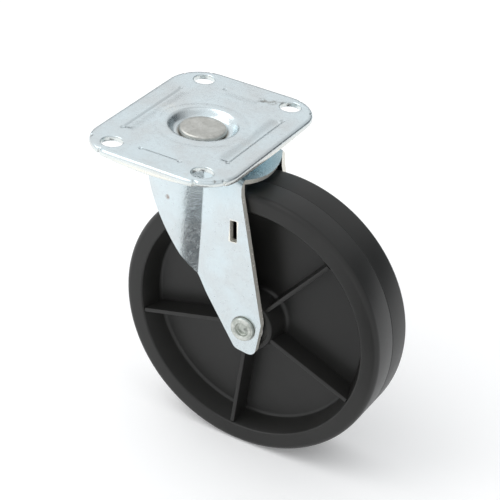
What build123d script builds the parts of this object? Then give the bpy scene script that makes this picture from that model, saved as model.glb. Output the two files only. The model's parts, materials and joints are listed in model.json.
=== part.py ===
"""Swivel plate caster: pressed plate and fork, riveted kingpin, two ball rows, plastic wheel."""
from build123d import *
from math import radians, cos, sin, tan, sqrt
import os

os.makedirs("parts", exist_ok=True)

# Frame: origin on the swivel axis at the plate's top face, +Z up along the kingpin,
# +X towards the trailing wheel, +Y along the axle. Millimetres.

# Plate
plate_x = 71.0
plate_y = 95.25
plate_t = 2.5
plate_corner = 17.5
plate_edge_r = 1.5       # rounding of the top edge
lip_t = 1.6              # turned-down sides: thickness, depth at their ends and at their middles
lip_end = 2.9
lip_mid_x = 3.4
lip_mid_y = 4.1
notch_r = 0.8            # relief notches, two at each corner
notch_x = (23.3, 46.8)
notch_y = (33.3, 38.6)
bolt_spacing_x = 44.45
bolt_spacing_y = 76.2
bolt_hole_r = 4.8
step_depth = 0.9         # stamped stiffening steps
step_ramp = 7.0
step_x = 25.5
step_x_length = 48.0
step_y = 34.8
step_y_length = 19.0
dish_r = 15.4            # depression that holds the kingpin head
dish_floor_r = 12.6
dish_depth = 3.75

# Kingpin
head_r = 10.5
head_top = -1.15
shank_r = 6.0
spacer_r = 7.4
washer_r = 10.0
washer_t = 1.5
peen_r = 8.8
peen_h = 3.4

# Ball rows
run_gap = 0.05           # clearance between a ball and its race
upper_ball_r = 2.778
upper_pitch_r = 18.9
upper_count = 18
upper_groove = 0.8
lower_ball_r = 2.38
lower_pitch_r = 13.2
lower_count = 14
lower_groove = 0.7
cage_gap = 0.15
cage_t = 0.8
seal_gap = 0.25          # grease seal: gap outside the upper retainer, thickness, clearance over the crown
seal_t = 0.9
seal_clear = 0.3
upper_cage = (15.4, 22.2, 1.2)   # inner radius, outer radius, drop below the balls' middle
lower_cage = (10.0, 16.9, 0.6)

# Fork
fork_t = 2.9
skirt_r = 23.6           # round skirt about the kingpin
leg_outer = 19.3         # outer face of each leg from the middle plane
bend_r = 3.6
crown_hole_r = 8.2
crown_flat_x = 22.0      # the crown runs level to here, then slopes down to its rear rim
crown_slope = 21.0       # degrees
rear_rim_mid = 35.3      # rear rim at the middle plane
rear_rim_side = 31.2     # rear rim beside the legs
front_rim_z = -13.0
blank_drop = 90.0
lead_skirt = (6.0, -53.1)    # leading edge: on the skirt, at the crease and on the leg
lead_crease = (13.2, -61.0)
lead_leg = (18.6, -70.0)
lead_low = (34.6, -92.2)
tip_low = (44.6, -93.4)
trail_kink = (46.5, -76.5)
trail_high = (31.5, -17.0)
slot_w = 3.4
slot_h = 10.2
slot_x = 29.1
slot_z = -34.7
slot_lean = 5.0          # degrees

# Wheel
wheel_r = 63.5
tread_half = 14.8
tread_round = 3.8
trail = 38.0
axle_z = -80.8
rim_inner_r = 55.1
rim_root_r = 51.4
web_half = 4.5
hub_face_r = 12.2
hub_root_r = 14.0
hub_half = 15.7
rib_count = 5
rib_t = 2.0
rib_half = 14.2
rib_first = 50.0         # degrees from +X towards +Z

# Wheel bearing and axle
shell_r = 9.9
shell_t = 1.0
roller_r = 1.2
sleeve_r = 6.35
roller_gap = 0.075
roller_count = 14
roller_length = 24.0
axle_r = 4.0
axle_bore_r = 3.1        # drilled ends of the rivet
axle_head_r = 5.6
axle_head_h = 1.9
axle_recess = 1.7        # depth of the drilled end, with a shallow cone left at its bottom
axle_cone_h = 0.7
axle_cone_r = 0.8
fit_gap = 0.05
thrust_t = 0.5
thrust_r = 8.2
cap_t = 2.0
cap_gap = 0.3
cap_recess = 0.4         # the caps sit this far inside the hub's faces
roller_cage_t = 1.3
roller_cage_end = 1.1    # length of the cage past each end of the rollers

# Heights that follow from the stack of plate, balls, crown and lower race
upper_ball_z = -plate_t + upper_groove - upper_ball_r - run_gap
crown_top = upper_ball_z - upper_ball_r - run_gap + upper_groove
crown_under = crown_top - fork_t
lower_ball_z = crown_under + lower_groove - lower_ball_r - run_gap
cup_top = lower_ball_z - lower_ball_r - run_gap + lower_groove
cup_t = 2.0
cup_clear = 0.6
cup_under = cup_top - cup_t
cup_r = lower_pitch_r + lower_ball_r + 1.6 + cup_t
boss_under = -dish_depth - plate_t
leg_inner = leg_outer - fork_t

axle_line = Axis((trail, 0, axle_z), (0, 1, 0))
# Sketch planes at the wheel centre: across the wheel, and along a radius (radius, axle)
wheel_plane = Plane(origin=(trail, 0, axle_z), x_dir=(1, 0, 0), z_dir=(0, -1, 0))
radius_plane = Plane(origin=(trail, 0, axle_z), x_dir=(1, 0, 0), z_dir=(0, 0, 1))


def save(builder, label):
    """Name a finished piece and write its STEP file."""
    builder.part.label = label
    export_step(builder.part, f"parts/{label}.step")


def swivel_ring(profile):
    """A ring about the kingpin axis from its (radius, height) corners."""
    with BuildPart() as ring:
        with BuildSketch(Plane.XZ):
            with BuildLine():
                Polyline(*profile, close=True)
            make_face()
        revolve(axis=Axis.Z)
    return ring.part


def axle_ring(profile):
    """A ring about the axle from its (radius, distance along the axle) corners."""
    with BuildPart() as ring:
        with BuildSketch(radius_plane):
            with BuildLine():
                Polyline(*profile, close=True)
            make_face()
        revolve(axis=axle_line)
    return ring.part


def race_groove(pitch_r, height, radius):
    """The torus that a ball row sweeps, with its running clearance."""
    with BuildPart() as groove:
        with BuildSketch(Plane.XZ):
            with Locations((pitch_r, height)):
                Circle(radius)
        revolve(axis=Axis.Z)
    return groove.part


def stamped_step(length):
    """A ramp that falls towards +X and ends in a sharp riser, with round ends."""
    half = length / 2
    with BuildPart() as step:
        with BuildSketch(Plane.XZ.offset(-half)):
            with BuildLine():
                Polyline((0, 0.01), (-step_ramp, 0.01), (0, -step_depth), close=True)
            make_face()
        extrude(amount=length)
        with BuildSketch(Plane.XY.offset(0.01)):
            with Locations((-step_depth, half), (-step_depth, -half)):
                Circle(step_depth)
        extrude(amount=-step_depth)
    return step.part


def turned_side(plane, length, middle_depth):
    """A side of the plate turned down, its lower edge bowed out to its middle."""
    half = length / 2
    with BuildPart() as side:
        with BuildSketch(plane):
            with BuildLine():
                Polyline((-half, -lip_end), (-half, -plate_t), (half, -plate_t), (half, -lip_end))
                ThreePointArc((-half, -lip_end), (0, -middle_depth), (half, -lip_end))
            make_face()
        extrude(amount=lip_t)
    return side.part


def build_top_plate():
    step_long = stamped_step(step_x_length)
    step_short = stamped_step(step_y_length)
    half_x = plate_x / 2
    half_y = plate_y / 2
    side_x = plate_x - 2 * plate_corner
    side_y = plate_y - 2 * plate_corner
    boss_slope = (dish_r - dish_floor_r) / dish_depth
    boss_top_r = dish_r + plate_t * (sqrt(1 + boss_slope**2) - boss_slope)
    boss_floor_r = boss_top_r - dish_depth * boss_slope
    boss = swivel_ring([(0, -plate_t), (boss_top_r, -plate_t), (boss_floor_r, boss_under), (0, boss_under)])
    groove = race_groove(upper_pitch_r, upper_ball_z, upper_ball_r + run_gap)
    with BuildPart() as plate:
        with BuildSketch():
            RectangleRounded(plate_x, plate_y, plate_corner)
        extrude(amount=-plate_t)
        fillet(plate.faces().sort_by(Axis.Z)[-1].edges(), plate_edge_r)
        for offset in (half_x - lip_t, -half_x):
            add(turned_side(Plane.YZ.offset(offset), side_y, lip_mid_x))
        for offset in (half_y - lip_t, -half_y):
            add(turned_side(Plane.XZ.offset(offset), side_x, lip_mid_y))
        add(boss)
        # depression for the kingpin head
        with BuildSketch(Plane.XZ):
            with BuildLine():
                Polyline((0, 0), (dish_r, 0), (dish_floor_r, -dish_depth), (0, -dish_depth), close=True)
            make_face()
        revolve(axis=Axis.Z, mode=Mode.SUBTRACT)
        add(groove, mode=Mode.SUBTRACT)
        Hole(shank_r)
        with GridLocations(bolt_spacing_x, bolt_spacing_y, 2, 2):
            Hole(bolt_hole_r)
        # relief notches where each turned-down side meets the flat corner
        with BuildSketch():
            for across, along in (notch_x, notch_y):
                with GridLocations(2 * across, 2 * along, 2, 2):
                    Circle(notch_r)
        extrude(amount=-lip_mid_y, mode=Mode.SUBTRACT)
        for turn in (0, 180):
            add(step_long.moved(Location((0, 0, 0), (0, 0, turn)) * Location((step_x, 0, 0))),
                mode=Mode.SUBTRACT)
        for turn in (90, 270):
            add(step_short.moved(Location((0, 0, 0), (0, 0, turn)) * Location((step_y, 0, 0))),
                mode=Mode.SUBTRACT)
    save(plate, "top_plate")


def build_kingpin():
    head_under = -dish_depth
    shank_end = cup_under - washer_t
    with BuildPart() as kingpin:
        with BuildSketch(Plane.XY.offset(head_under)):
            Circle(head_r)
        extrude(amount=head_top - head_under)
        fillet(kingpin.faces().sort_by(Axis.Z)[-1].edges(), 1.1)
        with BuildSketch(Plane.XY.offset(head_under)):
            Circle(shank_r)
        extrude(amount=shank_end - head_under)
        # peened end
        with BuildSketch(Plane.XY.offset(shank_end)):
            Circle(peen_r)
        extrude(amount=-peen_h)
        fillet(kingpin.faces().sort_by(Axis.Z)[0].edges(), 2.6)
    save(kingpin, "kingpin")


def build_swivel_stack():
    with BuildPart() as spacer:
        add(swivel_ring([(shank_r, boss_under), (spacer_r, boss_under), (spacer_r, cup_top), (shank_r, cup_top)]))
    save(spacer, "kingpin_spacer")

    rim_top = crown_under - cup_clear
    with BuildPart() as cup:
        add(swivel_ring([
            (shank_r, cup_top), (cup_r - cup_t, cup_top), (cup_r - cup_t, rim_top),
            (cup_r, rim_top), (cup_r, cup_under), (shank_r, cup_under),
        ]))
        add(race_groove(lower_pitch_r, lower_ball_z, lower_ball_r + run_gap), mode=Mode.SUBTRACT)
        outer = cup.edges().filter_by(GeomType.CIRCLE).group_by(Axis.Z)[0].sort_by(SortBy.RADIUS)[-1]
        fillet(outer, 1.4)
    save(cup, "lower_race_cup")

    with BuildPart() as washer:
        add(swivel_ring([
            (shank_r, cup_under), (washer_r, cup_under),
            (washer_r, cup_under - washer_t), (shank_r, cup_under - washer_t),
        ]))
        chamfer(washer.faces().sort_by(Axis.Z)[0].edges().sort_by(SortBy.RADIUS)[-1], 0.3)
    save(washer, "kingpin_washer")

    seal_inner = upper_cage[1] + seal_gap
    seal_outer = seal_inner + seal_t
    seal_end = crown_top + seal_clear
    with BuildPart() as seal:
        add(swivel_ring([
            (seal_inner, -plate_t), (seal_outer, -plate_t), (seal_outer, seal_end),
            (seal_inner + seal_t / 2, seal_end), (seal_inner, seal_end + seal_t / 2),
        ]))
    save(seal, "race_seal")


def build_ball_row(name, pitch_r, height, ball_r, count, cage):
    """A full row of balls and the thin ring that spaces them, set below the balls' middle."""
    cage_inner, cage_outer, cage_drop = cage
    pocket_r = sqrt(ball_r**2 - (cage_drop - cage_t / 2)**2) + cage_gap
    with BuildPart() as balls:
        with Locations((0, 0, height)):
            with PolarLocations(pitch_r, count):
                Sphere(ball_r)
    save(balls, f"{name}_balls")

    with BuildPart() as retainer:
        with BuildSketch(Plane.XY.offset(height - cage_drop - cage_t / 2)):
            Circle(cage_outer)
            Circle(cage_inner, mode=Mode.SUBTRACT)
            with PolarLocations(pitch_r, count):
                Circle(pocket_r, mode=Mode.SUBTRACT)
        extrude(amount=cage_t)
    save(retainer, f"{name}_ball_retainer")


def fork_blank(inset):
    """The solid that the fork sheet wraps: a round drum and the straight strip of the legs."""
    round_r = bend_r - inset
    top = crown_top - inset
    half = leg_outer - inset
    reach = skirt_r - inset
    bottom = top - blank_drop
    with BuildPart() as blank:
        with BuildSketch(Plane.XZ):
            with BuildLine():
                FilletPolyline((0, top), (reach, top), (reach, bottom), radius=round_r)
                Polyline((reach, bottom), (0, bottom), (0, top))
            make_face()
        revolve(axis=Axis.Z)
        # the strip runs level to the end of the bearing area, then falls towards the rear rim
        for start, run, fall in ((0, crown_flat_x, 0), (crown_flat_x, 40.0, crown_slope)):
            along = Vector(cos(radians(fall)), 0, -sin(radians(fall)))
            with BuildSketch(Plane(origin=(start, 0, top), x_dir=(0, 1, 0), z_dir=(1, 0, 0))):
                with BuildLine():
                    FilletPolyline(
                        (-half, -blank_drop), (-half, 0), (half, 0), (half, -blank_drop), radius=round_r
                    )
                    Line((half, -blank_drop), (-half, -blank_drop))
                make_face()
            extrude(amount=run / cos(radians(fall)), dir=along)
    return blank.part


def build_fork():
    outer_blank = fork_blank(0)
    inner_blank = fork_blank(fork_t)
    lead_run = (lead_leg[0] - lead_low[0]) / (lead_leg[1] - lead_low[1])
    lead_top = (lead_low[0] + (front_rim_z - lead_low[1]) * lead_run, front_rim_z)
    far_front = -skirt_r - 5
    far_rear = rear_rim_mid + 5
    fall = tan(radians(crown_slope))
    run = cos(radians(crown_slope))
    corner_z = crown_top - (rear_rim_side - crown_flat_x) * fall - fork_t / run
    far_z = corner_z - (far_rear - rear_rim_side) * fall
    rim_side = (rear_rim_side - crown_flat_x) / run
    rim_mid = (rear_rim_mid - crown_flat_x) / run
    crown_plane = Plane(
        origin=(crown_flat_x, 0, crown_top), x_dir=(1, 0, -fall), z_dir=(fall, 0, 1)
    )
    groove_up = race_groove(upper_pitch_r, upper_ball_z, upper_ball_r + run_gap)
    groove_low = race_groove(lower_pitch_r, lower_ball_z, lower_ball_r + run_gap)
    with BuildPart() as fork:
        add(outer_blank)
        add(inner_blank, mode=Mode.SUBTRACT)
        # side outline: sloping leading edge, short blunt tip, nearly upright trailing edge
        with BuildSketch(Plane.XZ):
            with BuildLine():
                FilletPolyline(
                    lead_top, lead_skirt, lead_crease, lead_leg, lead_low, tip_low, trail_kink, trail_high,
                    radius=[20.0, 20.0, 20.0, 4.0, 3.6, 3.0],
                )
                Polyline(
                    trail_high, (rear_rim_side, corner_z), (far_rear, far_z),
                    (far_rear, 0), (far_front, 0), (far_front, front_rim_z), lead_top,
                )
            make_face()
        extrude(amount=skirt_r + 5, both=True, mode=Mode.INTERSECT)
        # rear rim of the crown, bowed out between the legs and cut square to the sloping sheet
        with BuildSketch(crown_plane):
            with BuildLine():
                ThreePointArc((rim_side, -leg_inner), (rim_mid, 0), (rim_side, leg_inner))
                Polyline(
                    (rim_side, leg_inner), (2 * rim_mid, leg_inner), (2 * rim_mid, -leg_inner),
                    (rim_side, -leg_inner),
                )
            make_face()
        extrude(amount=2 * fork_t, both=True, mode=Mode.SUBTRACT)
        for start in (leg_inner, -skirt_r - 5):
            with BuildSketch(Plane.XZ.offset(start)):
                with BuildLine():
                    Polyline(
                        (rear_rim_side, 0), (rear_rim_side, corner_z), (far_rear, far_z), (far_rear, 0),
                        close=True,
                    )
                make_face()
            extrude(amount=skirt_r + 5 - leg_inner, mode=Mode.SUBTRACT)
        Hole(crown_hole_r)
        add(groove_up, mode=Mode.SUBTRACT)
        add(groove_low, mode=Mode.SUBTRACT)
        with BuildSketch(Plane.XZ):
            with Locations((trail, axle_z)):
                Circle(axle_r + fit_gap)
            with Locations(Location((slot_x, slot_z), slot_lean)):
                RectangleRounded(slot_w, slot_h, 0.6)
        extrude(amount=skirt_r + 5, both=True, mode=Mode.SUBTRACT)
    save(fork, "fork")


def build_wheel():
    with BuildPart() as wheel:
        with BuildSketch(radius_plane):
            with BuildLine():
                FilletPolyline(
                    (shell_r, 0), (shell_r, hub_half), (hub_face_r, hub_half), (hub_root_r, web_half),
                    (rim_root_r, web_half), (rim_inner_r, tread_half), (wheel_r, tread_half), (wheel_r, 0),
                    radius=[0.4, 0.9, 3.4, 3.8, 0.7, tread_round],
                )
                Line((wheel_r, 0), (shell_r, 0))
            make_face()
            mirror(about=Plane.XZ)
        revolve(axis=axle_line)
        rib_length = rim_inner_r - shell_r - 1.2
        with BuildSketch(wheel_plane):
            with PolarLocations(shell_r + 1.8 + rib_length / 2, rib_count, start_angle=rib_first):
                Rectangle(rib_length, rib_t)
        extrude(amount=rib_half, both=True)
    save(wheel, "wheel_moulding")


def build_wheel_bearing():
    shell_inner = shell_r - shell_t
    shell_half = hub_half - cap_t - cap_recess
    with BuildPart() as shell:
        add(axle_ring([
            (shell_inner, -shell_half), (shell_r, -shell_half), (shell_r, shell_half), (shell_inner, shell_half),
        ]))
    save(shell, "bearing_shell")

    cap_inner = sleeve_r + cap_gap
    for side, label in ((-1, "hub_cap_near"), (1, "hub_cap_far")):
        inside = side * shell_half
        outside = side * (shell_half + cap_t)
        with BuildPart() as cap:
            add(axle_ring([(cap_inner, inside), (shell_r, inside), (shell_r, outside), (cap_inner, outside)]))
        save(cap, label)

    pitch = sleeve_r + roller_gap + roller_r
    with BuildPart() as rollers:
        with BuildSketch(wheel_plane):
            with PolarLocations(pitch, roller_count):
                Circle(roller_r)
        extrude(amount=roller_length / 2, both=True)
    save(rollers, "bearing_rollers")

    cage_half = roller_length / 2 + roller_cage_end
    with BuildPart() as cage:
        with BuildSketch(wheel_plane):
            Circle(pitch + roller_cage_t / 2)
            Circle(pitch - roller_cage_t / 2, mode=Mode.SUBTRACT)
        extrude(amount=cage_half, both=True)
        with BuildSketch(wheel_plane):
            with PolarLocations(pitch, roller_count):
                Rectangle(2 * roller_cage_t, 2 * roller_r + 2 * cage_gap)
        extrude(amount=roller_length / 2 + cage_gap, both=True, mode=Mode.SUBTRACT)
    save(cage, "roller_cage")


def build_axle():
    bore_r = axle_r + fit_gap
    washer_inner = sleeve_r + fit_gap
    with BuildPart() as sleeve:
        add(axle_ring([
            (bore_r, -leg_inner), (sleeve_r, -leg_inner), (sleeve_r, leg_inner), (bore_r, leg_inner),
        ]))
    save(sleeve, "axle_sleeve")

    for side, label in ((-1, "thrust_washer_near"), (1, "thrust_washer_far")):
        inside = side * (leg_inner - thrust_t)
        outside = side * leg_inner
        with BuildPart() as washer:
            add(axle_ring([
                (washer_inner, inside), (thrust_r, inside), (thrust_r, outside), (washer_inner, outside),
            ]))
        save(washer, label)

    # semi-tubular rivet: solid shank, both ends drilled and rolled out into a rounded collar
    head_end = leg_outer + axle_head_h
    recess_end = head_end - axle_recess
    cone_top = recess_end + axle_cone_h
    with BuildPart() as rivet:
        with BuildSketch(radius_plane):
            with BuildLine():
                FilletPolyline(
                    (axle_cone_r, cone_top), (axle_bore_r, recess_end),
                    (axle_bore_r, head_end), (axle_head_r, head_end),
                    (axle_head_r, leg_outer), (axle_r, leg_outer), (axle_r, 0),
                    radius=[0.5, 0.7, 1.0, 0.2, 0.02],
                )
                Polyline((axle_r, 0), (0, 0), (0, cone_top), (axle_cone_r, cone_top))
            make_face()
            mirror(about=Plane.XZ)
        revolve(axis=axle_line)
    save(rivet, "axle_rivet")


build_top_plate()
build_kingpin()
build_swivel_stack()
build_ball_row("upper", upper_pitch_r, upper_ball_z, upper_ball_r, upper_count, upper_cage)
build_ball_row("lower", lower_pitch_r, lower_ball_z, lower_ball_r, lower_count, lower_cage)
build_fork()
build_wheel()
build_wheel_bearing()
build_axle()
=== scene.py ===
"""Studio scene for a swivel plate caster: pressed zinc-plated plate and fork, black moulded wheel."""
import bpy
import bmesh
import json
from math import radians, sin, cos, pi, sqrt, hypot
from mathutils import Matrix, Vector, geometry


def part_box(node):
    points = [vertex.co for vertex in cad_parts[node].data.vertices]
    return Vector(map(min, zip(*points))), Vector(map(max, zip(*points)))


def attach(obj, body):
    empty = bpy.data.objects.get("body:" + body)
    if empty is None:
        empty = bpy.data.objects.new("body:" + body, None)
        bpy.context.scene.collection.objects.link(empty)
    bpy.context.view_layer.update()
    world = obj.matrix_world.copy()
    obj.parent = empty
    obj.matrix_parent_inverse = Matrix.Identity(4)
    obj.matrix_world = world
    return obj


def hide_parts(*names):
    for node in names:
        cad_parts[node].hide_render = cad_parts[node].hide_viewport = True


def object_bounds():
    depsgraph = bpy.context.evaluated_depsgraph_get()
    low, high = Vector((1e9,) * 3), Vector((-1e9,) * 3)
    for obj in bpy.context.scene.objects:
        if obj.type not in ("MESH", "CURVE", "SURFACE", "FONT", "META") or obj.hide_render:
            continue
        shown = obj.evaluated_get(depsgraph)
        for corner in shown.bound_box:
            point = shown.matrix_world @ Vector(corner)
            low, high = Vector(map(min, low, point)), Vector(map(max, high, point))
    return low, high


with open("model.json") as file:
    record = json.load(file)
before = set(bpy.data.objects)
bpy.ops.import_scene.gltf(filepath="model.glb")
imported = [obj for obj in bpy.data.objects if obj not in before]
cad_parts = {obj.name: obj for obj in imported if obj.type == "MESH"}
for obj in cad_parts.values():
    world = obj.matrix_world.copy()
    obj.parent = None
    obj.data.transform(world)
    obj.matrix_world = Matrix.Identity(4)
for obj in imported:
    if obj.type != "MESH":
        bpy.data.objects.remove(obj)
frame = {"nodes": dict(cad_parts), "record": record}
cad_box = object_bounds()
record = frame["record"]
MM = 0.001


# ---- Camera ----

def aim_camera(target, azimuth, elevation, distance, roll, lens):
    """A camera that looks at target; azimuth 0 looks along +Y, roll turns the picture."""
    data = bpy.data.cameras.new("studio_camera")
    camera = bpy.data.objects.new("studio_camera", data)
    bpy.context.scene.collection.objects.link(camera)
    a, e = radians(azimuth), radians(elevation)
    forward = Vector((-sin(a) * cos(e), cos(a) * cos(e), -sin(e)))
    right = Vector((cos(a), sin(a), 0))
    up = right.cross(forward)
    turn = Matrix((right, up, -forward)).transposed() @ Matrix.Rotation(radians(roll), 3, "Z")
    camera.matrix_world = Matrix.Translation(Vector(target) - distance * forward) @ turn.to_4x4()
    data.lens = lens
    data.clip_end = 20
    bpy.context.scene.camera = camera


aim_camera(target=(0.0292, -0.0022, -0.0521), azimuth=26.89, elevation=30.74, distance=0.836,
           roll=5.25, lens=137.06)


# ---- Shader arithmetic ----

class Wire:
    """A shader socket that takes part in arithmetic; each operation adds a Math node."""

    def __init__(self, graph, socket):
        self.graph = graph
        self.socket = socket

    def math(self, operation, first, second=0.0):
        return self.graph.node("ShaderNodeMath", {"operation": operation}, {0: first, 1: second})

    def __add__(self, other):
        return self.math("ADD", self, other)

    def __sub__(self, other):
        return self.math("SUBTRACT", self, other)

    def __rsub__(self, other):
        return self.math("SUBTRACT", other, self)

    def __mul__(self, other):
        return self.math("MULTIPLY", self, other)

    def __abs__(self):
        return self.math("ABSOLUTE", self)

    __radd__ = __add__
    __rmul__ = __mul__

    def larger(self, other):
        return self.math("MAXIMUM", self, other)

    def above(self, low, high):
        """0 below low, 1 above high, smooth between."""
        values = {"Value": self, "From Min": low, "From Max": high}
        return self.graph.node("ShaderNodeMapRange", {"interpolation_type": "SMOOTHSTEP"}, values)


class Graph:
    """A node tree that expressions add nodes to."""

    def __init__(self, tree, place):
        self.tree = tree
        self.place = self.node("ShaderNodeTexCoord", output=place)

    def node(self, kind, settings=None, values=None, output=0):
        made = self.tree.nodes.new(kind)
        for name, value in (settings or {}).items():
            setattr(made, name, value)
        for name, value in (values or {}).items():
            self.join(value, made.inputs[name])
        return Wire(self, made.outputs[output])

    def join(self, value, socket):
        if isinstance(value, Wire):
            self.tree.links.new(value.socket, socket)
        else:
            socket.default_value = value

    def parts(self, vector):
        """The three components of a vector."""
        split = self.node("ShaderNodeSeparateXYZ", values={0: vector})
        return [Wire(self, out) for out in split.socket.node.outputs]

    def blend(self, factor, first, second):
        """first where factor is 0, second where it is 1."""
        made = self.node("ShaderNodeMix", {"data_type": "RGBA", "clamp_factor": True}).socket.node
        for socket, value in ((0, factor), (6, first), (7, second)):
            self.join(value, made.inputs[socket])
        return Wire(self, made.outputs[2])


class Finish(Graph):
    """A node material around one Principled shader."""

    def __init__(self, name, **fixed):
        self.material = bpy.data.materials.new(name)
        self.material.use_nodes = True
        super().__init__(self.material.node_tree, "Object")
        self.shader = self.tree.nodes["Principled BSDF"]
        for socket, value in fixed.items():
            self.shader.inputs[socket.replace("_", " ")].default_value = value

    def feed(self, **sockets):
        for name, value in sockets.items():
            self.join(value, self.shader.inputs[name.replace("_", " ")])

    def stretched(self, scale):
        """Object coordinates stretched by a scale along each axis."""
        return self.node("ShaderNodeVectorMath", {"operation": "MULTIPLY"}, {0: self.place, 1: scale})

    def noise(self, scale, detail=3.0, rough=0.55, place=None):
        """Fractal noise, 0 to 1; scale is in features for each metre."""
        values = {"Vector": place or self.place, "Scale": scale, "Detail": detail, "Roughness": rough}
        return self.node("ShaderNodeTexNoise", values=values)

    def distance(self, first, second):
        return self.node("ShaderNodeVectorMath", {"operation": "DISTANCE"}, {0: first, 1: second}, "Value")

    def spot(self, centre, radius):
        """1 at a place on the object given in millimetres, 0 beyond the radius."""
        away = self.distance(self.place, tuple(c * MM for c in centre))
        return 1 - away.above(0.2 * radius * MM, radius * MM)

    def bump(self, height, strength, depth):
        values = {"Height": height, "Strength": strength, "Distance": depth}
        self.feed(Normal=self.node("ShaderNodeBump", values=values))


def colour(red, green, blue):
    return (red, green, blue, 1.0)


# ---- Finishes ----

ZINC_BLUE = colour(0.66, 0.745, 0.775)
ZINC_GREY = colour(0.62, 0.66, 0.67)
# Cream of the cut edges, lifted to near white as a painted highlight; also a pale tint patch on the plate
PALE_CREAM = colour(0.97, 0.93, 0.83)
RUST = colour(0.20, 0.085, 0.03)
# Dark brown for dirt marks, and for painted shade in the rings round the rivet heads
GRIME_AND_SHADE = colour(0.16, 0.14, 0.11)
DEEP_BLUE = colour(0.30, 0.47, 0.54)


def zinc_plating(name, edge_mask=None, marks=(), tints_and_shade=None):
    """Bright blue-passivated zinc on pressed sheet: clouded, finely grained, cream at the sheared edges and
    lifted to near white there as a painted highlight.

    marks lists (place in millimetres, radius, depth of stain, colour) for handling marks and rust.
    The last argument, called with (f, base), lays this part's own tints and painted shade over the base
    colour.
    """
    f = Finish(name)
    clouds = f.noise(38.0, 4.0, 0.6)
    mottle = f.noise(520.0, 4.0, 0.72)
    grain = f.noise(1700.0, 2.0, 0.6)
    rolling = f.noise(260.0, 2.0, 0.5, f.stretched((0.25, 3.2, 1.0)))
    base = f.blend(clouds.above(0.35, 0.68), ZINC_BLUE, ZINC_GREY)
    base = f.blend(mottle.above(0.50, 0.78) * 0.30, base, colour(0.50, 0.54, 0.56))
    base = f.blend(f.noise(60.0, 5.0, 0.7).above(0.60, 0.78) * 0.30, base, colour(0.62, 0.58, 0.50))
    if tints_and_shade:
        base = tints_and_shade(f, base)
    smear = f.noise(520.0, 4.0, 0.7).above(0.36, 0.60)
    for place, radius, depth, shade in marks:
        base = f.blend(f.spot(place, radius) * smear * depth, base, shade)
    edge = edge_mask(f) if edge_mask else 0.0
    # The cut edges get a near-white cream with less metal: partly their own colour, partly a painted
    # highlight
    f.feed(Base_Color=f.blend(edge, base, PALE_CREAM), Metallic=1 - 0.6 * edge)
    f.feed(Roughness=0.17 + 0.07 * clouds + 0.12 * mottle.above(0.4, 0.8))
    f.bump(0.65 * mottle + 0.45 * grain + 0.2 * rolling, 0.6, 0.00020)
    return f.material


def forged_steel(name, pale, dark, pit):
    """Plain rivet steel with an upset head: pitted, handled, faintly scratched."""
    f = Finish(name, Metallic=0.9)
    clouds = f.noise(240.0, 4.0, 0.65)
    pits = f.noise(1300.0, 3.0, 0.7)
    scratches = f.noise(900.0, 2.0, 0.5, f.stretched((1.0, 0.12, 1.0)))
    base = f.blend(clouds.above(0.35, 0.7), dark, pale)
    base = f.blend(pits.above(0.55, 0.70) * 0.5, base, pit)
    f.feed(Base_Color=base, Roughness=0.20 + 0.16 * clouds + 0.1 * scratches)
    f.bump(0.7 * pits + 0.6 * clouds + 0.2 * scratches, 0.5, 0.00014)
    return f.material


def turned_steel(name, base_level, rough_level):
    """Hardened steel with a thin oil film, for races, balls and rollers."""
    f = Finish(name, Metallic=1.0, IOR=1.6)
    film = f.noise(150.0, 3.0, 0.6)
    lines = f.noise(2400.0, 2.0, 0.5)
    light = colour(base_level, base_level, base_level * 1.02)
    dark = colour(base_level * 0.7, base_level * 0.68, base_level * 0.62)
    f.feed(Base_Color=f.blend(film.above(0.5, 0.75), light, dark), Roughness=rough_level + 0.12 * film)
    f.bump(lines, 0.12, 0.00004)
    return f.material


def black_moulding(name):
    """Black moulded polypropylene: satin, faintly clouded, fine spark texture, dusty scuffs."""
    f = Finish(name, Specular_IOR_Level=0.42)
    clouds = f.noise(30.0, 4.0, 0.6)
    dust = f.noise(600.0, 4.0, 0.75)
    spark = f.noise(2600.0, 2.0, 0.5)
    scuffs = f.noise(150.0, 5.0, 0.8, f.stretched((1.0, 2.5, 1.0)))
    base = f.blend(clouds.above(0.3, 0.7), colour(0.0105, 0.0105, 0.0098), colour(0.0150, 0.0148, 0.0138))
    base = f.blend(dust.above(0.66, 0.82) * 0.22, base, colour(0.035, 0.034, 0.031))
    base = f.blend(scuffs.above(0.64, 0.74) * 0.12, base, colour(0.045, 0.044, 0.042))
    f.feed(Base_Color=base, Roughness=0.30 + 0.09 * clouds + 0.10 * dust)
    f.bump(0.6 * spark + 0.4 * dust, 0.22, 0.00006)
    return f.material


def natural_nylon(name):
    """Cream injection-moulded nylon."""
    f = Finish(name, IOR=1.53)
    clouds = f.noise(120.0, 3.0, 0.6)
    grain = f.noise(1500.0, 2.0, 0.5)
    base = f.blend(clouds, colour(0.60, 0.56, 0.46), colour(0.72, 0.69, 0.60))
    f.feed(Base_Color=base, Roughness=0.42 + 0.15 * clouds)
    f.bump(grain, 0.15, 0.00005)
    return f.material


def black_rubber(name):
    """Matt black sealing rubber with a dusty bloom."""
    f = Finish(name, Specular_IOR_Level=0.3)
    bloom = f.noise(180.0, 4.0, 0.7)
    grain = f.noise(1700.0, 2.0, 0.5)
    base = f.blend(bloom.above(0.4, 0.8), colour(0.012, 0.012, 0.012), colour(0.04, 0.039, 0.037))
    f.feed(Base_Color=base, Roughness=0.6 + 0.2 * bloom)
    f.bump(grain, 0.3, 0.00006)
    return f.material


# ---- Mesh helpers (millimetres in, metres out) ----

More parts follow.
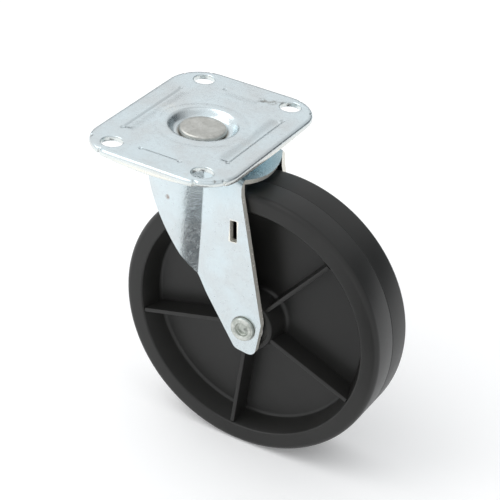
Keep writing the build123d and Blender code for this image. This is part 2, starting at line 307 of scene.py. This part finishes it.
def new_piece(name, verts, faces, material, body, nodes):
    mesh = bpy.data.meshes.new(name)
    mesh.from_pydata([Vector(v) * MM for v in verts], [], faces)
    mesh.validate()
    work = bmesh.new()
    work.from_mesh(mesh)
    bmesh.ops.recalc_face_normals(work, faces=work.faces)
    work.to_mesh(mesh)
    work.free()
    mesh.shade_smooth()
    mesh.materials.append(material)
    piece = bpy.data.objects.new(name, mesh)
    bpy.context.scene.collection.objects.link(piece)
    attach(piece, body)
    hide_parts(*nodes)
    return piece


def rounded_path(points, radii, steps=5):
    """A 2-D path with its inner corners rounded; radii has one value for each inner point."""
    path = [Vector(points[0])]
    for before, corner, after, radius in zip(points, points[1:], points[2:], radii):
        corner = Vector(corner)
        back = (Vector(before) - corner).normalized()
        ahead = (Vector(after) - corner).normalized()
        half = back.angle(ahead) / 2
        reach = radius / max(1e-6, sin(half) / cos(half))
        centre = corner + (back + ahead).normalized() * (radius / sin(half))
        start = corner + back * reach - centre
        end = corner + ahead * reach - centre
        sweep = start.angle_signed(end)
        for i in range(steps + 1):
            turn = Matrix.Rotation(-sweep * i / steps, 2)
            path.append(centre + turn @ start)
    path.append(Vector(points[-1]))
    return path


def spun(profile, place, segments, first=0):
    """Vertices and faces of a profile turned about an axis; place(radius, along, angle) gives a point."""
    verts = [place(p[0], p[1], 2 * pi * s / segments) for s in range(segments) for p in profile]
    count = len(profile)
    faces = []
    for s in range(segments):
        after = (s + 1) % segments
        for i in range(count):
            j = (i + 1) % count
            faces.append([first + s * count + i, first + s * count + j, first + after * count + j,
                          first + after * count + i])
    return verts, faces


# ---- Sizes read from the frame ----

def size_of(node):
    low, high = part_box(node)
    return [Vector(low) / MM, Vector(high) / MM]


plate_high = size_of("top_plate")[1]
wheel_low, wheel_high = size_of("wheel_moulding")
kingpin_low, kingpin_high = size_of("kingpin")
axle = (wheel_low + wheel_high) / 2
bolts = [m for m in record["mounts"] if m["name"] == "plate_bolts"][0]["dims"]


def about_axle(radius, along, angle):
    return (axle.x + radius * cos(angle), along + SIDE_PLAY, axle.z + radius * sin(angle))


def about_kingpin(radius, along, angle):
    return (radius * cos(angle), radius * sin(angle), along)


# ---- Wheel ----

WHEEL_R = (wheel_high.x - wheel_low.x) / 2
TREAD_HALF = 14.8
SIDE_PLAY = -0.3      # the wheel sits a little towards the near leg
SHELL_R = size_of("bearing_shell")[1].z - axle.z
HUB_HALF = wheel_high.y
HUB_FACE_R, HUB_ROOT_R = 12.2, 14.0
WEB_HALF = 4.5
RIM_ROOT_R, RIM_EDGE_R = 51.4, 55.3
SEAM_HALF, SEAM_DEPTH = 0.35, 0.28      # the groove at the mould's parting line
RIB_COUNT, RIB_FIRST = 5, 50.0          # the first rib's angle in degrees
RIB_CREST_HALF, RIB_FOOT_HALF = 0.95, 1.35
RIB_DROP = 0.5                          # the ribs stop this far below the rim's edge


def wheel_profile():
    """Closed outline of the wheel's section, near side then far side, with the mould's parting line."""
    near = rounded_path(
        [(SHELL_R, 0), (SHELL_R, HUB_HALF), (HUB_FACE_R, HUB_HALF), (HUB_ROOT_R, WEB_HALF),
         (RIM_ROOT_R, WEB_HALF), (RIM_EDGE_R, TREAD_HALF), (WHEEL_R, TREAD_HALF), (WHEEL_R, SEAM_HALF)],
        [0.4, 0.8, 2.2, 1.8, 1.0, 2.6], 7,
    )
    groove = [(WHEEL_R - 0.03, 0.22), (WHEEL_R - SEAM_DEPTH, 0.0), (WHEEL_R - 0.03, -0.22)]
    far = [Vector((p.x, -p.y)) for p in reversed(near[1:])]
    return near + [Vector(p) for p in groove] + far


def wheel_rib(angle, side, first):
    """A radial rib on one side of the web, drafted, with a rounded crest."""
    crest, foot = TREAD_HALF - RIB_DROP, WEB_HALF - 0.6
    inner, outer = SHELL_R + 1.2, 54.6
    section = rounded_path(
        [(-RIB_FOOT_HALF, foot), (-RIB_CREST_HALF, crest), (RIB_CREST_HALF, crest), (RIB_FOOT_HALF, foot)],
        [0.45, 0.45], 4,
    )
    along = Vector((cos(angle), sin(angle)))
    across = Vector((-sin(angle), cos(angle)))
    verts = []
    for radius in (inner, outer):
        for p in section:
            spot = along * radius + across * p.x
            verts.append((axle.x + spot.x, side * p.y + SIDE_PLAY, axle.z + spot.y))
    n = len(section)
    faces = [[first + i, first + i + 1, first + n + i + 1, first + n + i] for i in range(n - 1)]
    faces.append([first, first + n, first + 2 * n - 1, first + n - 1])
    faces.append([first + i for i in range(n)])
    faces.append([first + n + i for i in reversed(range(n))])
    return verts, faces


def build_wheel(material):
    verts, faces = spun(wheel_profile(), about_axle, 240)
    for k in range(RIB_COUNT):
        for side in (-1, 1):
            more, quads = wheel_rib(radians(RIB_FIRST + 360 / RIB_COUNT * k), side, len(verts))
            verts += more
            faces += quads
    wheel = new_piece("wheel_body", verts, faces, material, "wheel", ["wheel_moulding"])
    wheel.data.set_sharp_from_angle(angle=radians(50))
    return wheel


# ---- Kingpin ----

KINGPIN_SEGMENTS = 96
SHANK_R = 6.0
HEAD_BASE = -3.7
PEEN_R, PEEN_HEIGHT = 8.8, 3.3


def build_kingpin(material):
    """The rivet turned from its outline: a dished head, the shank and the peened end."""
    top, bottom = kingpin_high.z, kingpin_low.z
    head_r = kingpin_high.x
    peen_top = bottom + PEEN_HEIGHT
    outline = rounded_path(
        [(0, top - 0.12), (5.5, top - 0.1), (7.8, top), (head_r, top - 0.35), (head_r, HEAD_BASE),
         (SHANK_R, HEAD_BASE), (SHANK_R, peen_top), (PEEN_R, peen_top), (PEEN_R - 0.2, bottom), (0, bottom)],
        [6.0, 4.0, 1.2, 0.3, 0.1, 0.1, 0.6, 2.4], 7,
    )
    verts, faces = spun(outline[1:-1], about_kingpin, KINGPIN_SEGMENTS)
    count = len(outline) - 2
    faces = [f for f in faces if abs(f[0] % count - f[1] % count) == 1]
    faces.append([s * count for s in range(KINGPIN_SEGMENTS)])
    faces.append([s * count + count - 1 for s in reversed(range(KINGPIN_SEGMENTS))])
    pin = new_piece("kingpin_rivet", verts, faces, material, "plate", ["kingpin"])
    pin.data.set_sharp_from_angle(angle=radians(50))
    return pin


# ---- Plate ----

HALF_X, HALF_Y = plate_high.x, plate_high.y
CORNER = 17.5
SHEET = 2.5
EDGE_R = 1.45         # rounding of the top edge
BAND = 2.0            # width of the rolled edge, from the outline to the flat
SIDE_END, SIDE_MIDDLE_X, SIDE_MIDDLE_Y = 2.9, 3.4, 4.1     # depth of the turned-down sides
LIP = 1.6
NOTCH = 0.8
FLAT_FROM, FLAT_TO = 29.0, 72.4      # degrees of each corner left flat, between two relief notches
HOLE_R = bolts["hole_r_mm"]
HOLE_X = bolts["spacing_x_mm"] / 2
HOLE_Y = bolts["spacing_y_mm"] / 2
HOLE_BREAK = 0.4      # how far a hole's edge is broken back
KINGPIN_HOLE_R = 6.2
STEP_X, STEP_Y = 25.5, 34.8
STEP_X_HALF, STEP_Y_HALF = 24.0, 9.5
STEP_DROP, STEP_RAMP, STEP_RISER = 0.95, 6.0, 1.8
FRONT_STEP_SHARE, SHORT_STEP_SHARE = 0.55, 0.24      # depths of the fainter steps
DIMPLE_OUT, DIMPLE_R, DIMPLE_DEPTH = 0.6, 1.3, 0.55  # the punch marks at the ends of the steps
DISH_R, DISH_FLOOR, DISH_DEPTH = 16.0, 12.4, 3.72
WITNESS_R, WITNESS_HALF, WITNESS_DEPTH = 20.4, 1.6, 0.16     # the press tool's faint ring
GRID = 1.1            # spacing of the plate's mesh
DISH_POINTS = 96


def smooth(t):
    t = min(1.0, max(0.0, t))
    return t * t * (3 - 2 * t)


def ramp_height(across, along, line, half):
    """A stamped ramp that falls outwards to the line, then rises in a short riser."""
    ends = smooth((half - abs(along)) / 2.2)
    if across > line + STEP_RISER or across < line - STEP_RAMP:
        return 0.0
    if across > line:
        return -STEP_DROP * ends * (1 - (across - line) / STEP_RISER) ** 2
    return -STEP_DROP * ends * smooth((across - line + STEP_RAMP) / STEP_RAMP)


def step_ends():
    """Where the stamped steps end."""
    ends = []
    for side in (-1, 1):
        for end in (-1, 1):
            ends.append((side * (STEP_X + DIMPLE_OUT), end * STEP_X_HALF))
            ends.append((end * STEP_Y_HALF, side * (STEP_Y + DIMPLE_OUT)))
    return ends


STEP_ENDS = step_ends()


def plate_height(x, y):
    """Height of the plate's top face in millimetres."""
    r = hypot(x, y)
    z = -DISH_DEPTH * smooth((DISH_R - r) / (DISH_R - DISH_FLOOR))
    z -= WITNESS_DEPTH * smooth(1 - abs(r - WITNESS_R) / WITNESS_HALF)
    z += (1.0 if x > 0 else FRONT_STEP_SHARE) * ramp_height(abs(x), y, STEP_X, STEP_X_HALF)
    z += SHORT_STEP_SHARE * ramp_height(abs(y), x, STEP_Y, STEP_Y_HALF)
    for end_x, end_y in STEP_ENDS:
        z -= DIMPLE_DEPTH * smooth(1 - hypot(x - end_x, y - end_y) / DIMPLE_R)
    return z


def corner_station(centre, turn, angle, flat_from, flat_to):
    """A station on a corner's arc: turned down at both ends, flat between its two relief notches."""
    out = turn @ Vector((cos(radians(angle)), sin(radians(angle))))
    near = min(abs(angle - flat_from), abs(angle - flat_to)) * radians(CORNER)
    notch = NOTCH * sqrt(max(0.0, 1 - (near / NOTCH) ** 2))
    depth = SHEET if flat_from < angle < flat_to else SIDE_END
    return centre + out * CORNER, out, depth, notch


def plate_outline():
    """(point, outward normal, side depth, notch depth) around the plate."""
    stations = []
    for quarter in range(4):
        long_side = quarter % 2 == 0
        far, half = (HALF_X, HALF_Y - CORNER) if long_side else (HALF_Y, HALF_X - CORNER)
        middle = SIDE_MIDDLE_X if long_side else SIDE_MIDDLE_Y
        flat_from, flat_to = (FLAT_FROM, FLAT_TO) if long_side else (90 - FLAT_TO, 90 - FLAT_FROM)
        turn = Matrix.Rotation(radians(90 * quarter), 2)
        count = int(2 * half / 0.9)
        for i in range(count):
            t = -half + 2 * half * i / count
            depth = SIDE_END + (middle - SIDE_END) * (1 - (t / half) ** 2)
            stations.append((turn @ Vector((far, t)), turn @ Vector((1, 0)), depth, 0.0))
        centre = turn @ Vector((far - CORNER, half))
        flats = (flat_from, flat_to)
        fine = {flat + NOTCH * k / 5 / radians(CORNER) for flat in flats for k in range(-5, 6)}
        coarse = {a for a in range(0, 90, 4) if min(abs(a - flat_from), abs(a - flat_to)) > 4}
        stations += [corner_station(centre, turn, a, flat_from, flat_to) for a in sorted(fine | coarse)]
    return stations


def edge_section(depth):
    """(inset, height) down the plate's rolled edge and back under it."""
    over = [(EDGE_R * (1 - sin(radians(a))), -EDGE_R * (1 - cos(radians(a)))) for a in range(15, 91, 15)]
    under = [(0, -depth + 0.35), (0.12, -depth + 0.1), (0.4, -depth), (LIP - 0.3, -depth),
             (LIP, -max(depth - 0.3, SHEET)), (LIP, -SHEET)]
    return over + under


def circle_points(centre, radius, count):
    angles = [2 * pi * i / count for i in range(count)]
    return [Vector((centre[0] + radius * cos(a), centre[1] + radius * sin(a))) for a in angles]


def in_plate(x, y, margin):
    """Whether a point lies inside the plate's outline by at least the margin."""
    dx = max(0.0, abs(x) - (HALF_X - CORNER))
    dy = max(0.0, abs(y) - (HALF_Y - CORNER))
    inside_box = abs(x) < HALF_X - margin and abs(y) < HALF_Y - margin
    return inside_box and (dx == 0 or dy == 0 or hypot(dx, dy) < CORNER - margin)


def plate_holes():
    """(centre, radius, points around it) of the bolt holes and the kingpin's hole."""
    bolt_r = HOLE_R + HOLE_BREAK
    holes = [((sx * HOLE_X, sy * HOLE_Y), bolt_r, 48) for sx in (-1, 1) for sy in (-1, 1)]
    return holes + [((0, 0), KINGPIN_HOLE_R, 72)]


def dish_points():
    """Rings of points down the depression's wall."""
    points = []
    for r in (DISH_FLOOR - 0.5, DISH_FLOOR, 12.9, 13.4, 13.9, 14.4, 14.9, 15.4, DISH_R, 17.0):
        points += circle_points((0, 0), r, DISH_POINTS)
    return points


def step_points():
    """Rows of points along the ramp, the line and the riser of each stamped step."""
    rows = [(-STEP_RAMP, 1.2), (-0.6, 0.7), (-0.1, 0.6), (0.1, 0.6)]
    rows += [(STEP_RISER * share, 0.6) for share in (0.3, 0.55, 0.75, 0.95)]
    points = []
    for shift, gap in rows:
        for side in (-1, 1):
            for line, half, swap in ((STEP_X, STEP_X_HALF, False), (STEP_Y, STEP_Y_HALF, True)):
                length = 2 * half + 4
                count = int(length / gap)
                for i in range(count + 1):
                    along = -half - 2 + length * i / count
                    across = side * (line + shift)
                    points.append(Vector((along, across) if swap else (across, along)))
    return points


def grid_points(holes):
    """A staggered grid over the rest of the plate."""
    points = []
    for i in range(-int(HALF_X / GRID), int(HALF_X / GRID) + 1):
        for j in range(-int(HALF_Y / GRID), int(HALF_Y / GRID) + 1):
            x = i * GRID + (GRID / 2 if j % 2 else 0.0)
            y = j * GRID
            clear = all(hypot(x - c[0], y - c[1]) > r + 0.4 for c, r, n in holes)
            in_dish = DISH_FLOOR - 1 < hypot(x, y) < DISH_R + 1.4
            if clear and not in_dish and in_plate(x, y, BAND + 0.5):
                points.append(Vector((x, y)))
    return points


def face_triangles(loops, holes):
    """The plate's face as triangles: its points, the triangles, and each loop's points in it."""
    points, edges, starts = [], [], []
    for loop in loops:
        start = len(points)
        starts.append(start)
        edges += [(start + i, start + (i + 1) % len(loop)) for i in range(len(loop))]
        points += loop
    points += dish_points() + step_points() + grid_points(holes)
    flat, _, tris, origins, _, _ = geometry.delaunay_2d_cdt(points, edges, [], 0, 1e-4)
    index = {source: i for i, sources in enumerate(origins) for source in sources}
    keep = []
    for tri in tris:
        c = (flat[tri[0]] + flat[tri[1]] + flat[tri[2]]) / 3
        clear = all(hypot(c.x - h[0], c.y - h[1]) > r * 0.998 for h, r, n in holes)
        if clear and in_plate(c.x, c.y, BAND - 0.01):
            keep.append(tri)
    borders = [[index[start + i] for i in range(len(loop))] for start, loop in zip(starts, loops)]
    return flat, keep, borders


def rim_section(station):
    """Points down the plate's edge at one station of the outline."""
    p, n, depth, notch = station
    section = []
    for inset, z in edge_section(depth):
        q = p - n * (notch + inset * (BAND - notch) / BAND)
        section.append((q.x, q.y, z))
    return section


def hole_section(point, centre, radius):
    """Points down a hole's wall, with both its edges broken."""
    out = (point - Vector(centre)) / radius
    top = plate_height(*point)
    wall = [(0.12, -0.03), (0.3, -0.14), (HOLE_BREAK, -0.4), (HOLE_BREAK, 0.4 - SHEET), (0.25, 0.1 - SHEET)]
    return [(*(point - out * inset), top + z) for inset, z in wall]


def close_edge(verts, faces, top, bottom, sections):
    """Rings of faces from a border of the top face, through its sections, to the bottom face."""
    count = len(top)
    rings = [top]
    for level in range(len(sections[0])):
        rings.append(list(range(len(verts), len(verts) + count)))
        verts += [section[level] for section in sections]
    rings.append(bottom)
    for upper, lower in zip(rings, rings[1:]):
        for i in range(count):
            j = (i + 1) % count
            faces.append([upper[i], lower[i], lower[j], upper[j]])


def build_plate(material):
    outline = plate_outline()
    holes = plate_holes()
    loops = [[p - n * BAND for p, n, depth, notch in outline]]
    loops += [circle_points(*hole) for hole in holes]
    flat, triangles, borders = face_triangles(loops, holes)
    total = len(flat)
    verts = [(p.x, p.y, plate_height(p.x, p.y)) for p in flat]
    verts += [(x, y, z - SHEET) for x, y, z in verts]
    faces = [list(t) for t in triangles] + [[total + i for i in reversed(t)] for t in triangles]
    walls = [[rim_section(station) for station in outline]]
    for loop, (centre, radius, count) in zip(loops[1:], holes):
        walls.append([hole_section(point, centre, radius) for point in loop])
    for border, sections in zip(borders, walls):
        close_edge(verts, faces, border, [total + i for i in border], sections)
    used = sorted({k for face in faces for k in face})
    renumber = {k: i for i, k in enumerate(used)}
    verts = [verts[k] for k in used]
    faces = [[renumber[k] for k in face] for face in faces]
    plate = new_piece("mounting_plate", verts, faces, material, "plate", ["top_plate"])
    plate.data.set_sharp_from_angle(angle=radians(60))
    return plate


# ---- Fork ----

def build_fork(material):
    """The fork with its sheared edges broken by tumbling."""
    shape = bmesh.new()
    shape.from_mesh(frame["nodes"]["fork"].data)
    bmesh.ops.remove_doubles(shape, verts=shape.verts, dist=0.002 * MM)
    bmesh.ops.dissolve_limit(shape, angle_limit=radians(0.5), verts=shape.verts, edges=shape.edges)
    mesh = bpy.data.meshes.new("fork_pressing")
    shape.to_mesh(mesh)
    shape.free()
    mesh.shade_smooth()
    mesh.materials.clear()
    mesh.materials.append(material)
    for face in mesh.polygons:
        face.material_index = 0
    fork = bpy.data.objects.new("fork_pressing", mesh)
    bpy.context.scene.collection.objects.link(fork)
    bevel = fork.modifiers.new("broken_edge", "BEVEL")
    bevel.width = 0.25 * MM
    bevel.segments = 2
    bevel.limit_method = "ANGLE"
    bevel.angle_limit = radians(50)
    fork.modifiers.new("even_normals", "WEIGHTED_NORMAL")
    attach(fork, "fork")
    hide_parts("fork")
    return fork


# ---- Where the sheared edges and stains are ----

LEG_FROM = 0.0145                       # the legs lie beyond this x, in metres
SLOT_X, SLOT_Z = 0.0291, -0.0347
SLOT_HALF_X, SLOT_HALF_Z = 0.0017, 0.0051
CAP_R = size_of("axle_rivet")[1].z - axle.z


def plate_edges(f):
    """1 on the plate's cut side faces and in the holes, most on the lower part of the sides; the cream laid
    there is partly a painted highlight.
    """
    nz = f.parts(f.node("ShaderNodeTexCoord", output="Normal"))[2]
    z = f.parts(f.place)[2]
    low = (0 - z).above(0.0018, 0.0030)
    side = (1 - abs(nz)).above(0.55, 0.95)
    return side * (0.30 + 0.55 * low)


def plate_crevice_shade(f, base):
    """Painted shade: a dark ring in the crevice where the kingpin's head meets the plate."""
    flat = f.stretched((1.0, 1.0, 0.0))
    ring = 1 - f.distance(flat, (0.0, 0.0, 0.0)).above(kingpin_high.x * MM, (kingpin_high.x + 1.7) * MM)
    return f.blend(ring * 0.92, base, GRIME_AND_SHADE)


def fork_edges(f):
    """1 where the fork shows the cut thickness of the sheet: round the legs, the rear rim and the slots. The
    near-white cream laid there is partly a painted highlight.
    """
    nx, ny, nz = f.parts(f.node("ShaderNodeTexCoord", output="Normal"))
    x, y, z = f.parts(f.place)
    behind = x.above(LEG_FROM, LEG_FROM + 0.0005)
    legs = behind * (1 - abs(ny)).above(0.25, 0.6) * (0 - z).above(0.012, 0.016)
    rear = nx.above(0.55, 0.85) * behind
    skirt = (0 - nz).above(0.2, 0.4) * (0 - z).above(0.0145, 0.0155)
    across = 1 - abs(x - SLOT_X).above(SLOT_HALF_X, SLOT_HALF_X + 0.0007)
    along = 1 - abs(z - SLOT_Z).above(SLOT_HALF_Z, SLOT_HALF_Z + 0.0006)
    halo = across * along
    return legs.larger(rear).larger(skirt).larger(halo) * 0.85


def fork_tint_and_shade(f, base):
    """Deeper blue where the crown slopes under the plate, and painted shade in a dark ring round each axle
    head.
    """
    base = f.blend(f.spot((22.0, 0.0, -9.0), 26.0) * 0.9, base, DEEP_BLUE)
    flat = f.stretched((1.0, 0.0, 1.0))
    centre = (axle.x * MM, 0.0, axle.z * MM)
    ring = 1 - f.distance(flat, centre).above(CAP_R * MM, (CAP_R + 0.7) * MM)
    return f.blend(ring * 0.85, base, GRIME_AND_SHADE)


# ---- Assign finishes to the carried-over nodes ----

plate_marks = (
    ((9.5, 36.0, 0.0), 3.2, 0.75, GRIME_AND_SHADE),
    ((13.8, 36.8, 0.0), 3.4, 0.85, GRIME_AND_SHADE),
    ((17.0, 39.2, 0.0), 2.0, 0.5, GRIME_AND_SHADE),
    ((29.9, -41.6, 0.0), 1.3, 1.0, GRIME_AND_SHADE),
    ((-20.0, 4.0, 0.0), 7.0, 0.22, PALE_CREAM),
)
fork_marks = (((-2.0, -23.5, -26.4), 1.7, 0.7, RUST), ((0.5, -23.5, -47.0), 1.2, 0.5, RUST))
zinc = zinc_plating("zinc_pressing", plate_edges, plate_marks, plate_crevice_shade)
zinc_fork = zinc_plating("zinc_fork", fork_edges, fork_marks, fork_tint_and_shade)
zinc_small = zinc_plating("zinc_small")
rivet = forged_steel(
    "rivet_forging",
    pale=colour(0.60, 0.60, 0.57), dark=colour(0.45, 0.45, 0.42), pit=colour(0.26, 0.25, 0.23),
)
axle_steel = forged_steel(
    "axle_forging",
    pale=colour(0.68, 0.70, 0.66), dark=colour(0.42, 0.45, 0.41), pit=colour(0.25, 0.28, 0.25),
)
race = turned_steel("race_ring", 0.52, 0.28)
balls = turned_steel("ball_polish", 0.66, 0.12)
moulding = black_moulding("black_polypropylene")
nylon = natural_nylon("cage_nylon")
rubber = black_rubber("seal_rubber_black")

finishes = {
    "top_plate": zinc, "fork": zinc_fork, "kingpin": rivet, "axle_rivet": axle_steel,
    "lower_race_cup": zinc_small, "kingpin_washer": zinc_small,
    "thrust_washer_near": race, "thrust_washer_far": race,
    "kingpin_spacer": race, "axle_sleeve": race, "bearing_shell": race,
    "upper_balls": balls, "lower_balls": balls, "bearing_rollers": balls,
    "upper_ball_retainer": nylon, "lower_ball_retainer": nylon, "roller_cage": nylon,
    "hub_cap_near": moulding, "hub_cap_far": moulding, "race_seal": rubber, "wheel_moulding": moulding,
}
for node, finish in finishes.items():
    body = frame["nodes"][node]
    for place in body.material_slots:
        place.material = finish


# ---- Build the pieces ----

build_fork(zinc_fork)
build_plate(zinc)
build_wheel(moulding)
build_kingpin(rivet)


# ---- Studio ----

def studio_floor(height):
    """A pale seamless floor with a faint glow of its own: painted light that lifts it and fills in the
    shadows on it.
    """
    f = Finish("studio_paper", Specular_IOR_Level=0.1, Emission_Strength=0.12)
    fibre = f.noise(220.0, 3.0, 0.6)
    base = f.blend(fibre, colour(0.93, 0.93, 0.93), colour(0.96, 0.96, 0.96))
    f.feed(Base_Color=base, Roughness=0.9 - 0.05 * fibre)
    mesh = bpy.data.meshes.new("studio_floor")
    reach = 6.0
    mesh.from_pydata([(-reach, -reach, height), (reach, -reach, height), (reach, reach, height),
                      (-reach, reach, height)], [], [[0, 1, 2, 3]])
    mesh.materials.append(f.material)
    floor = bpy.data.objects.new("studio_floor", mesh)
    bpy.context.scene.collection.objects.link(floor)


def soft_light(name, spot, aim, size, power):
    light = bpy.data.lights.new(name, "AREA")
    light.size = size
    light.energy = power
    lamp = bpy.data.objects.new(name, light)
    bpy.context.scene.collection.objects.link(lamp)
    lamp.location = spot
    lamp.rotation_euler = (Vector(aim) - Vector(spot)).to_track_quat("-Z", "Y").to_euler()


def dark_flag(corners):
    """A dark card that only reflections see, lying low in front of the fork."""
    f = Finish("flag_felt", Specular_IOR_Level=0.0)
    fibre = f.noise(300.0, 2.0, 0.5)
    base = f.blend(fibre, colour(0.06, 0.063, 0.066), colour(0.11, 0.115, 0.12))
    f.feed(Base_Color=base, Roughness=0.95 - 0.02 * fibre)
    mesh = bpy.data.meshes.new("studio_flag")
    mesh.from_pydata(corners, [], [[0, 1, 2, 3]])
    mesh.materials.append(f.material)
    flag = bpy.data.objects.new("studio_flag", mesh)
    bpy.context.scene.collection.objects.link(flag)
    flag.visible_camera = False
    flag.visible_diffuse = False
    flag.visible_shadow = False


floor_z = cad_box[0][2]
studio_floor(floor_z)
card_z = floor_z + 0.004
card_corners = ((0.014, -0.118), (0.108, -0.088), (0.200, -0.200), (0.014, -0.280))
dark_flag([(x, y, card_z) for x, y in card_corners])
soft_light("key_softbox", spot=(-0.55, -0.35, 0.75), aim=(0.02, 0, -0.05), size=0.9, power=3.6)


WALL_WHITE = colour(0.90, 0.91, 0.92)
WALL_DARK = colour(0.10, 0.11, 0.12)
BACKDROP = colour(0.92, 0.92, 0.92)


def studio_surround():
    """White studio walls: dimmer towards the right, darker low down behind the object."""
    world = bpy.data.worlds.new("studio")
    bpy.context.scene.world = world
    world.use_nodes = True
    g = Graph(world.node_tree, "Generated")
    x, y, z = g.parts(g.place)
    behind = y.above(0.0, 0.3)
    rise = z - 0.2 * x.above(0.3, 0.5)
    low_wall = y.above(0.35, 0.7) * (1 - rise.above(0.12, 0.34))
    right_behind = x.above(-0.34, -0.12) * behind
    far_right = x.above(0.30, 0.60) * (1 - z.above(0.62, 0.8))
    dim = 0.30 * right_behind + 0.30 * far_right
    tone = g.blend(dim, WALL_WHITE, WALL_DARK)
    tone = g.blend(low_wall, tone, WALL_DARK)
    seen = g.node("ShaderNodeLightPath", output="Is Camera Ray")
    background = world.node_tree.nodes["Background"]
    g.join(g.blend(seen, tone, BACKDROP), background.inputs["Color"])
    background.inputs["Strength"].default_value = 1.12


studio_surround()
bpy.context.scene.view_settings.view_transform = "Standard"
